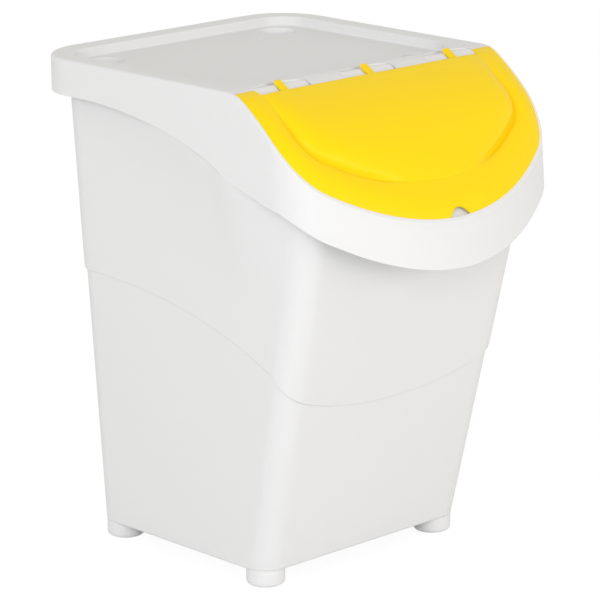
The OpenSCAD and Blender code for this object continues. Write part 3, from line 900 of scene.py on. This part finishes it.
def laid(loop, d):
    """A plan outline laid d below the deck."""
    return np.c_[loop, deck_z(loop[:, 1], d)]


rows = [cover_row(1 - math.sin(t), 1 - math.cos(t)) for t in quarter(7)]
rim_edge, top_z = rows[0], rows[-1][:, 2]
foot_z = seam_on(COVER)
rows += [skirt(COVER, lerp(top_z, foot_z + 0.4, t)) for t in shares(21)]
rows += [skirt(cover_loop(-inset), foot_z + up) for inset, up in (
    (0.12, 0.1), (0.4, 0.0), (1.8, 0.0), (2.35, 0.2), (WALL, 0.8))]
inner = cover_loop(-WALL)
ceiling = np.where(inner[:, 1] > CEILING_START, CEILING_Z, deck_z(inner[:, 1], LEDGE_D))
rows += [skirt(inner, lerp(foot_z + 0.8, ceiling, t)) for t in shares(11)]
cover = Surface()
cover.loft(rows[::-1])
recess_top = recess_row(0.06, 0)
cover.fill(rim_edge, [lifted(tray_loop(TRAY_EDGE), HEIGHT), recess_top], step=9, lift=lambda p: laid(p, 0))
print("cover outside:", len(cover.faces), "faces")

# %% [markdown]
# ## Tray and sockets
# A second bin can stand in the tray, with its feet in four shallow sockets. The walls are strips
# down to a soft fillet, and the floor is a fill with four holes. Each socket is a table of steps,
# in and down from its edge. Boolean cuts would leave long thin faces around the holes, and these
# rows don't.

# %% Tray and sockets
TRAY_FILLET = 2
SOCKET_R = FOOT_R + 1.0
STACK_SHIFT = 15.0
SOCKET_STEPS = [
    (0.0, 0.0), (-0.35, 0.1), (-0.6, 0.35), (-0.75, 0.8), (-0.95, 2.0),
    (-1.3, 4.0), (-1.6, 5.0), (-2.1, 5.8), (-2.9, 6.3), (-4.0, 6.5)]


def add_cups(loops, steps, z, step, inner_side):
    """A cup under each loop: steps are pairs of how far out and how far down from height z."""
    for loop in loops:
        cover.loft([lifted(offset(loop, out), z - down) for out, down in steps], flip=not inner_side)
        out, down = steps[-1]
        cover.fill(offset(loop, out), step=step, lift=level(z - down), flip=inner_side)


tray_z = HEIGHT - TRAY_DEPTH
rows = [lifted(tray_loop(TRAY_EDGE * (1 - math.sin(t))), HEIGHT - TRAY_EDGE * (1 - math.cos(t)))
        for t in quarter(5)]
rows += [lifted(tray_loop(0), z) for z in (HEIGHT - 3, HEIGHT - 5)]
rows += [lifted(tray_loop(-TRAY_FILLET * (1 - math.cos(t))), tray_z + TRAY_FILLET * (1 - math.sin(t)))
         for t in quarter(8)]
cover.loft(rows, flip=True)
sockets = [circle(x, y + STACK_SHIFT, SOCKET_R) for x, y in FEET]
cover.fill(rows[-1], sockets, step=9, lift=level(tray_z))
add_cups(sockets, SOCKET_STEPS, tray_z, 5, False)
print("cover with tray:", len(cover.faces), "faces")

# %% [markdown]
# ## Recess and hollows
# The flap lies in a recess a little deeper than the flap is thick, so that its edge ends flush with
# the lip. Behind it the floor drops into three hollows. They could be cut with Booleans, but a
# height rule for the floor keeps this to one fill, and a finer patch of points around each hollow
# lets the floor bend there.

# %% Recess and hollows
REBATE_D = 3.0
SCOOP_FLOOR = HEIGHT - 8.0


def scoop_reach(x, y, middle):
    """Below 1 inside the ellipse of the hollow at middle, above 1 outside it."""
    return ((x - middle) / SCOOP_HALF) ** 2 + ((y - SCOOP_MID) / SCOOP_DEEP) ** 2


def recess_floor(x, y):
    ledge = deck_z(y, REBATE_D)
    floor = ledge.copy()
    for middle in HINGES:
        w = smooth((y - FLAP_REAR + 0.5) / 1.0) * (scoop_reach(x, y, middle) < 1.02)
        floor = np.where(w > 0, lerp(ledge, np.minimum(SCOOP_FLOOR, ledge), w), floor)
    return floor


def recess_bottom(out, up):
    plan = offset(recess, out)
    y = recess_row(out, REBATE_D)[:, 1]
    return np.stack([plan[:, 0], y, recess_floor(plan[:, 0], y) + up], -1)


def patch(xs, ys):
    """All points of a small grid."""
    return np.stack(np.meshgrid(xs, ys), -1).reshape(-1, 2)


fine = np.concatenate([patch(np.arange(x - 34, x + 34.1, 2.0), np.arange(4.5, 26, 0.9)) for x in HINGES])
rows = [recess_top, recess_row(0.02, 0.02), recess_row(0, 0.06),
        recess_bottom(0, 0.5), recess_bottom(-0.15, 0.15), recess_bottom(-0.5, 0)]
cover.loft(rows, flip=True)
mouth_top = laid(mouth_loop(0.5), REBATE_D)
cover.fill(rows[-1], [mouth_top], step=5, extra=fine,
           lift=lambda p: np.c_[p, recess_floor(p[:, 0], p[:, 1])])
print("cover with recess:", len(cover.faces), "faces")

# %% [markdown]
# ## Mouth and collar
# Waste falls through the mouth, and a collar below it keeps liquid off the ledge. It could be an
# extruded edge with Solidify, but its rim is rounded, so it is one loft: over the soft edge, down
# the inner face, round the foot and up the outer face to the ledge.

# %% Mouth and collar
COLLAR_DEPTH = 14.0
deep = LEDGE_D + COLLAR_DEPTH
rows = [mouth_top, laid(mouth_loop(0.15), REBATE_D + 0.15)]
rows += [laid(mouth_loop(0), d) for d in np.linspace(REBATE_D + 0.5, deep - 0.5, 6)]
rows += [laid(mouth_loop(g), d) for g, d in (
    (0.4, deep - 0.1), (1.3, deep), (2.2, deep - 0.1), (WALL, deep - 0.5))]
rows += [laid(mouth_loop(WALL), d) for d in np.linspace(deep - 0.5, LEDGE_D, 6)[1:]]
cover.loft(rows, flip=True)
print("cover with collar:", len(cover.faces), "faces")

# %% [markdown]
# ## Cover inside
# The cover is lifted off, so its underside is seen too: a ceiling that follows the deck and bulges
# down under the hollows, the outer walls of the tray, and a boss under each socket. Solidify would
# only repeat the outside, but the ceiling and the bosses have their own forms. Closing the shell
# here also gives it a volume that can be measured.

# %% Cover inside
BULGE = 3.5
BOSS_STEPS = [(0.0, 0.0), (-0.5, 1.6), (-0.9, 3.4), (-1.6, 4.6), (-2.8, 5.2)]


def cover_ceiling(p):
    x, y = p[:, 0], p[:, 1]
    z = np.where(y > CEILING_START, CEILING_Z, deck_z(y, LEDGE_D))
    for middle in HINGES:
        z = z - BULGE * smooth((1.7 - scoop_reach(x, y, middle)) / 0.6)
    return np.c_[p, z]


pan = tray_loop(WALL)
under = tray_z - WALL
cover.fill(skirt(inner, ceiling), [laid(mouth_loop(WALL), LEDGE_D), lifted(pan, CEILING_Z)],
           step=11, lift=cover_ceiling, extra=fine[::7], flip=True)
cover.loft([lifted(pan, CEILING_Z), lifted(pan, under)])
cover.fill(lifted(pan, under), sockets, step=14, lift=level(under), flip=True)
add_cups(sockets, BOSS_STEPS, under, 8, True)
cover_shell = even_shading(cover.build("cover_shell", [white]))
print("cover:", len(cover_shell.data.polygons), "faces")

# %% [markdown]
# ## Hinge bars
# The flap hangs on three short bars, moulded with the cover and held by a web at either side of the
# hook. One bar is made about its own axis, as a round rod and two webs, and the repeater makes three.
# The web slopes down ahead of the bar, where the flap's edge swings, and fills the hollow behind it.

# %% Hinge bars
BAR_Y, BAR_Z, BAR_R = 17.4, HEIGHT - 2.3, 1.7
HOOK_W = 7.5
WEB_LOW, WEB_TOP, WEB_FRONT, WEB_REAR = -5.9, 1.3, -10.9, 8.4
WEB_START, WEB_END = HOOK_W / 2 + 0.5, 32.5


def slices(xs, outline):
    """Rows across a part that lies along X. outline gives (y, z) for each x."""
    return [np.c_[np.full(len(outline(x)), x), outline(x)] for x in xs]


def web_row(x):
    """A slice of the web beside the hook."""
    hollow = SCOOP_MID + SCOOP_DEEP * math.sqrt(1 - (x / SCOOP_HALF) ** 2)
    rear = min(WEB_REAR, hollow - BAR_Y + 0.2)
    corners = np.array([
        [WEB_FRONT, WEB_LOW], [rear, WEB_LOW], [rear, WEB_TOP - 0.9 * clamp((rear - 1) / 7.4)],
        [min(1.0, rear - 0.5), WEB_TOP], [min(-1.0, rear - 1.1), WEB_TOP], [WEB_FRONT, -4.2]])
    return np.concatenate([np.linspace(a, b, 9)[:-1] for a, b in zip(corners, np.roll(corners, -1, 0))])


rod = circle(0, 0, BAR_R - 0.03, 32)
hinge = Surface()
hinge.capped_loft(slices(np.linspace(-SCOOP_HALF + 0.6, SCOOP_HALF - 0.6, 9), lambda x: rod))
for side in (-1, 1):
    ends = np.sort(side * np.array([WEB_START, WEB_END]))
    hinge.capped_loft(slices(np.linspace(*ends, 15), web_row))
HINGE_ROW = (3, 1), (HOOK_PITCH / 1000, 0), (0, (BAR_Y - SHIFT) / 1000, BAR_Z / 1000)
bars = repeat("cover_bars", hinge.build("bar", middle=0), *HINGE_ROW, white)
print("bars:", len(bars.data.polygons), "faces")

# %% [markdown]
# ## Dome of the flap
# The yellow flap has a rounded border, a crease inside it, and a low dome within the crease. Each
# depends on the distance from the flap's edge, so one function gives the height over the deck. A
# sculpted or subdivided surface would be soft everywhere, but this rule keeps the crease crisp. The
# crease is deepest at the front corners, and the dome fades out towards the hinge.

# %% Dome of the flap
FLAP_T = 2.5
BORDER_W, BORDER_ROLL, BORDER_H = 25.0, 14.0, 5.0
CREASE_D, GROOVE_D, GROOVE_W = 1.4, 3.6, 1.7
DOME_H, DOME_ROLL, FRONT_ROLL = 12.0, 25.0, 36.0
DOME_BEND = 2.6
DOME_REAR, REAR_FADE, REAR_BEND = 15.0, 70, 1.4
CREASE_X, CREASE_X_RUN = 40, 44
CREASE_Y, CREASE_Y_RUN = -2, 30
ROLL_X, ROLL_X_RUN = 45, 60
CREASE_LEAST = 0.1


def flap_inset(x, y):
    """How far a place lies inside the flap's edge."""
    ax = np.abs(x)
    vx, vy = ax - FLAP_CX, y - FLAP_CY
    in_corner = (np.arctan2(vy, vx) >= FLAP_TURN - math.pi / 2) & (vx > 0)
    corner = FLAP_CORNER - np.hypot(vx, vy)
    front = FLAP_FRONT_R - np.hypot(ax, y - FLAP_CY0)
    return np.where(vy >= 0, FLAP_HALF - ax, np.where(in_corner, corner, front))


def dome(x, y):
    """Height over the deck: the border rounds up, drops into a crease, and the dome rises inside it."""
    i = flap_inset(x, y)
    right_angle = np.pi / 2
    turn = smooth((np.abs(x) - CREASE_X) / CREASE_X_RUN) * smooth((CREASE_Y - y) / CREASE_Y_RUN)
    deep = CREASE_D * (CREASE_LEAST + (1 - CREASE_LEAST) * turn)
    roll = lerp(FRONT_ROLL, DOME_ROLL, smooth((np.abs(x) - ROLL_X) / ROLL_X_RUN))
    border = BORDER_H * np.sin(right_angle * clamp(i / BORDER_ROLL))
    dip = deep * (1 - np.cos(right_angle * clamp((i - BORDER_ROLL) / (BORDER_W - BORDER_ROLL))))
    groove = GROOVE_D * turn * np.exp(-((i - BORDER_W) / GROOVE_W) ** 2)
    rise = (DOME_H - BORDER_H + deep) * (1 - (1 - clamp((i - BORDER_W) / roll)) ** DOME_BEND)
    fade = 1 - (1 - clamp((DOME_REAR - y) / REAR_FADE)) ** REAR_BEND
    return fade * (border - dip - groove + rise)


def flap_point(x, y, d):
    """The place on the flap over (x, y), d below its outer face."""
    a, h = deck_angle(y), dome(x, y)
    sink = d * clamp((FLAP_REAR - y) / 40)
    return np.stack([x + 0 * y, y + (sink - h) * np.sin(a),
                     deck_z(y + sink * np.sin(a), d) + h * np.cos(a)], -1)


print("dome heights along the middle:", [round(float(dome(0, y)), 1) for y in (-100, -80, -60, -30, 0)])

# %% [markdown]
# ## Flap outline
# The edge has a finger notch in the middle of its front and an ear at either side of its rear. The
# notch is an arc that replaces the points it swallows, which is exact where a Boolean could leave
# slivers.

# %% Flap outline
EAR_X = FLAP_HALF - 23.0
NOTCH_R, NOTCH_DEPTH = 18.0, 5.7
NOTCH_CLEAR = 0.3


def flap_loop():
    """The edge of the flap with its ears and its finger notch."""
    front = flap_arcs(0.0, m=120)[::-1]
    middle = np.array([0, -FLAP_REACH - NOTCH_R + NOTCH_DEPTH])
    gone = np.nonzero(np.linalg.norm(front - middle, axis=1) <= NOTCH_R + NOTCH_CLEAR)[0]
    reach = math.degrees(math.acos((NOTCH_R - NOTCH_DEPTH + NOTCH_CLEAR) / NOTCH_R))
    notch = arc(middle[0], middle[1], NOTCH_R, 90 + reach, 90 - reach, 18)
    front = np.concatenate([front[:gone[0]], notch, front[gone[-1] + 1:]])
    side = front[-1]
    rear = np.array([
        [side[0], EAR_REAR - 1.0], [side[0] - 1.0, EAR_REAR], [EAR_X + 1.2, EAR_REAR],
        [EAR_X, EAR_REAR - 0.8], [EAR_X - 0.6, FLAP_REAR + 0.6], [EAR_X - 1.6, FLAP_REAR]])
    path = np.concatenate([side[None], rear, rear[::-1] * [-1, 1], front[:1]])
    return np.concatenate([front, resample(path, 3.0, False)[1:-1]])


edge = flap_loop()
print("flap outline:", len(edge), "points")

# %% [markdown]
# ## Flap
# Rows of points run round the flap at set distances from its edge, closest at the crease, so that
# the crease lies along them instead of zigzagging over a square grid. Only the middle has a plain
# grid. The same fill is used for both faces, one lying a wall's thickness under the other.

# %% Flap
ROW_INSETS = (2, 4, 6, 8, 10, 12, 14, 16, 18, 20, 21.6, 23, 24, 24.7, 25, 25.3, 25.9, 26.8, 28, 29.5,
              31.2, 33.2, 35.4, 38, 41, 44, 48)
TOP_EDGE, LOW_EDGE = 0.07, 0.5
guide = []
for d in ROW_INSETS:
    path = flap_arcs(-d, n=20 if d < 40 else 10, m=90)
    side = np.arange(path[0, 1] + 2.6, FLAP_REAR - 1.5, 2.6)
    guide.append(path)
    guide += [np.stack([np.full(len(side), s * (FLAP_HALF - d)), side], -1) for s in (-1, 1)]
middle = patch(np.arange(-112, 112.1, 3.2), np.arange(-60, 10, 3.0))
guide = np.concatenate(guide + [middle[flap_inset(middle[:, 0], middle[:, 1]) > 49.6]])


def flap_row(out, d):
    plan = offset(edge, out)
    return flap_point(plan[:, 0], plan[:, 1], d)


def fill_flap(out, d, flip):
    plan = offset(edge, out)
    flap.fill(plan, step=1.6, lift=lambda p: flap_point(p[:, 0], p[:, 1], d),
              extra=guide[inside(guide, plan)], grid=False, flip=flip)


rows = [flap_row(-TOP_EDGE * (1 - math.sin(t)), TOP_EDGE * (1 - math.cos(t))) for t in quarter(4)]
rows += [flap_row(0, FLAP_T / 2)]
rows += [flap_row(-LOW_EDGE * (1 - math.cos(t)), FLAP_T - LOW_EDGE * (1 - math.sin(t))) for t in quarter(3)]
flap = Surface()
flap.loft(rows, flip=True)
fill_flap(-TOP_EDGE, 0.0, False)
fill_flap(-LOW_EDGE, FLAP_T, True)
flap_shell = flap.build("flap_shell", [yellow])
print("flap:", len(flap_shell.data.polygons), "faces")

# %% [markdown]
# ## Hooks
# Three hooks clip the flap onto the bars. A hook is a flat form in side view: a clip open to
# the back, an arm to the flap and a small tab on top that stops it. Its outline is pulled across
# with slightly rounded edges. An extruded curve could do it, but the outline must match the flap
# and the bar exactly, so it is worked out from the same numbers.

# %% Hooks
HOOK_R, TAB_REACH = 3.75, 5.7
BORE_R = BAR_R + 0.05
LIP_GAP = 0.7


def about_bar(r, degrees):
    t = math.radians(degrees)
    return [r * math.cos(t), r * math.sin(t)]


def arm_point(ahead, up, d=0.0):
    """A place ahead of the flap's rear edge and up from its layer d, measured about the bar."""
    y = FLAP_REAR - max(0.0, ahead)
    return [FLAP_REAR - BAR_Y - ahead, float(deck_z(y, d)) + up - BAR_Z]


def hook_outline():
    """Side view of a hook as (y, z) about its bar, counter-clockwise."""
    lip_out, lip_in = (math.degrees(math.acos(LIP_GAP / r)) for r in (HOOK_R, BORE_R))
    tab = np.array([about_bar(r, t) for r, t in (
        (HOOK_R + 0.4, 78), (TAB_REACH - 0.4, 75), (TAB_REACH - 0.05, 77), (TAB_REACH - 0.05, 81),
        (TAB_REACH - 0.6, 93), (TAB_REACH - 0.75, 97), (TAB_REACH - 1.1, 101))])
    arm = np.array([arm_point(-0.2, 0.9), arm_point(0.9, 0.15), arm_point(3, -0.4),
                    arm_point(3, 0.4, FLAP_T), arm_point(1, 0.5, FLAP_T)])
    top = arc(0, 0, HOOK_R, lip_out, lip_out + 0.5, 1)
    low = arc(0, 0, HOOK_R, 186, 360 - lip_out, 20)
    bore = arc(0, 0, BORE_R, 360 - lip_in, lip_in, 32)
    return resample(np.concatenate([top, tab, arm, low, bore]), 0.8)


side_view = hook_outline()
w = HOOK_W / 2
clip = Surface()
clip.loft([np.c_[np.full(len(side_view), x), offset(side_view, -inset)] for x, inset in (
    (-w, 0.2), (-w + 0.06, 0.06), (-w + 0.2, 0), (0, 0), (w - 0.2, 0), (w - 0.06, 0.06), (w, 0.2))])
for x, flip in ((w, False), (-w, True)):
    clip.fill(offset(side_view, -0.2), step=1.5, lift=lambda p: np.c_[np.full(len(p), x), p], flip=flip)
hooks = repeat("flap_hooks", clip.build("hook", middle=0), *HINGE_ROW, yellow)
print("hooks:", len(hooks.data.polygons), "faces")

# %% [markdown] ## Bodies Bucket, cover and flap are three bodies that move apart, so each piece
# is given to its body. The three shells stand for the three moulded parts.

# %% Bodies
for obj, body, place in ((bucket_shell, "bucket", "white_plastic"), (feet, "bucket", "white_plastic"),
                         (cover_shell, "cover", "cover_plastic"), (bars, "cover", "cover_plastic"),
                         (flap_shell, "flap", "yellow_plastic"), (hooks, "flap", "yellow_plastic")):
    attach(obj, body)
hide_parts("bin_body")
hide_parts("top_cover")
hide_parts("flap_lid")

# %% [markdown]
# ## Floor
# The bin stands on a white studio floor that runs out into a white background. A plain white
# floor would turn grey under soft lamps. So rays that look straight at it see mostly a glow, while
# the bin is lit by the matt floor that other rays find. What is left of the matt share shows the
# bin's soft shadow.

# %% Floor
FLOOR_GLOW, GLOW_SHARE = 1.09, 0.85


def seen_rays(nodes, links):
    """1 for rays that show the background: straight from the camera, in a reflection or through glass."""
    ray = nodes.new("ShaderNodeLightPath")
    value = ray.outputs["Is Camera Ray"]
    for kind in ("Is Glossy Ray", "Is Transmission Ray"):
        either = nodes.new("ShaderNodeMath")
        either.operation = "MAXIMUM"
        links.new(value, either.inputs[0])
        links.new(ray.outputs[kind], either.inputs[1])
        value = either.outputs[0]
    return value


bpy.ops.mesh.primitive_plane_add(size=30, location=(0, 0, 0))
floor = bpy.context.object
floor.name = "floor"
paper = bpy.data.materials.new("paper")
paper.use_nodes = True
nodes, links = paper.node_tree.nodes, paper.node_tree.links
matt = nodes["Principled BSDF"]
matt.inputs["Base Color"].default_value = (0.80, 0.80, 0.80, 1)
matt.inputs["Roughness"].default_value = 0.9
glow, blend, share = (nodes.new("ShaderNode" + kind) for kind in ("Emission", "MixShader", "Math"))
share.operation = "MULTIPLY"
share.inputs[1].default_value = GLOW_SHARE
glow.inputs["Color"].default_value = (1, 1, 1, 1)
glow.inputs["Strength"].default_value = FLOOR_GLOW
for start, end in ((seen_rays(nodes, links), share.inputs[0]), (share.outputs[0], blend.inputs[0]),
                   (matt.outputs[0], blend.inputs[1]), (glow.outputs[0], blend.inputs[2]),
                   (blend.outputs[0], nodes["Material Output"].inputs["Surface"])):
    links.new(start, end)
floor.data.materials.append(paper)
print("floor glow", FLOOR_GLOW, "seen by", GLOW_SHARE, "of the straight rays")

# %% [markdown]
# ## Lamps
# Broad lamps stand in front, at the left and at the corner between, like soft boxes around a
# product. Their size makes the shadows soft, and their slightly different whites set the bin's
# faces apart. A sun lamp would give hard shadows, and a ready-made studio world would be harder to
# adjust.

# %% Lamps
LAMP_AIM = Vector((0, 0, 0.30))


def area_light(name, place, size, power, colour):
    light = bpy.data.lights.new(name, "AREA")
    light.shape = "RECTANGLE"
    light.size, light.size_y = size
    light.energy = power
    light.color = colour
    lamp = bpy.data.objects.new(name, light)
    bpy.context.scene.collection.objects.link(lamp)
    lamp.location = place
    lamp.rotation_mode = "QUATERNION"
    lamp.rotation_quaternion = (LAMP_AIM - Vector(place)).to_track_quat("-Z", "Y")


area_light("front lamp", (0.6, -2.9, 0.85), (2.0, 1.1), 18.0, (1.0, 0.975, 0.94))
area_light("left lamp", (-2.9, 0.3, 1.15), (2.0, 1.1), 12.9, (0.94, 0.96, 1.0))
area_light("corner lamp", (-2.1, -2.1, 1.2), (1.6, 1.1), 29.2, (0.91, 0.925, 1.0))

# %% [markdown]
# ## World
# The world is plain white to the camera and a soft, slightly warm grey to everything else. One grey
# for both would tint the background. With two, the background stays white while the fill light in
# the shadows can be set on its own.

# %% World
SOFT_FILL = 0.635
world = bpy.data.worlds.new("studio")
bpy.context.scene.world = world
world.use_nodes = True
nodes, links = world.node_tree.nodes, world.node_tree.links
nodes.clear()
seen, soft, mix, out = (nodes.new("ShaderNode" + kind) for kind in (
    "Background", "Background", "MixShader", "OutputWorld"))
seen.inputs["Color"].default_value = (1, 1, 1, 1)
soft.inputs["Color"].default_value = (1.0, 0.985, 0.93, 1)
soft.inputs["Strength"].default_value = SOFT_FILL
for start, end in ((seen_rays(nodes, links), mix.inputs[0]), (soft.outputs[0], mix.inputs[1]),
                   (seen.outputs[0], mix.inputs[2]), (mix.outputs[0], out.inputs["Surface"])):
    links.new(start, end)
print("soft fill", SOFT_FILL)

# %% [markdown]
# ## Camera
# The camera stands about three metres off at a front corner, a little above the bin, with a long
# lens that keeps upright edges nearly parallel. Its place follows from two angles and a distance
# around a target, which is easier to adjust than a position and a rotation.

# %% Camera
AZ, EL, ROLL = math.radians(-43.364), math.radians(14.871), math.radians(-0.5)
DISTANCE, LENS = 3.06819, 195.54
target = Vector((-16.745, 86.842 - SHIFT, 244.734)) / 1000
back = Vector((math.sin(AZ) * math.cos(EL), -math.cos(AZ) * math.cos(EL), math.sin(EL)))
right = (-back).cross(Vector((0, 0, 1))).normalized()
up = right.cross(-back)
rolled_right = right * math.cos(ROLL) + up * math.sin(ROLL)
rolled_up = -right * math.sin(ROLL) + up * math.cos(ROLL)
turn = Matrix((rolled_right, rolled_up, back)).transposed().to_4x4()
cam_data = bpy.data.cameras.new("camera")
cam_data.sensor_width = 36.0
cam_data.lens = LENS
camera = bpy.data.objects.new("camera", cam_data)
scene = bpy.context.scene
scene.collection.objects.link(camera)
camera.matrix_world = Matrix.Translation(target + back * DISTANCE) @ turn
scene.camera = camera
scene.view_settings.view_transform = "Standard"
print("camera at", [round(v, 3) for v in camera.matrix_world.translation])
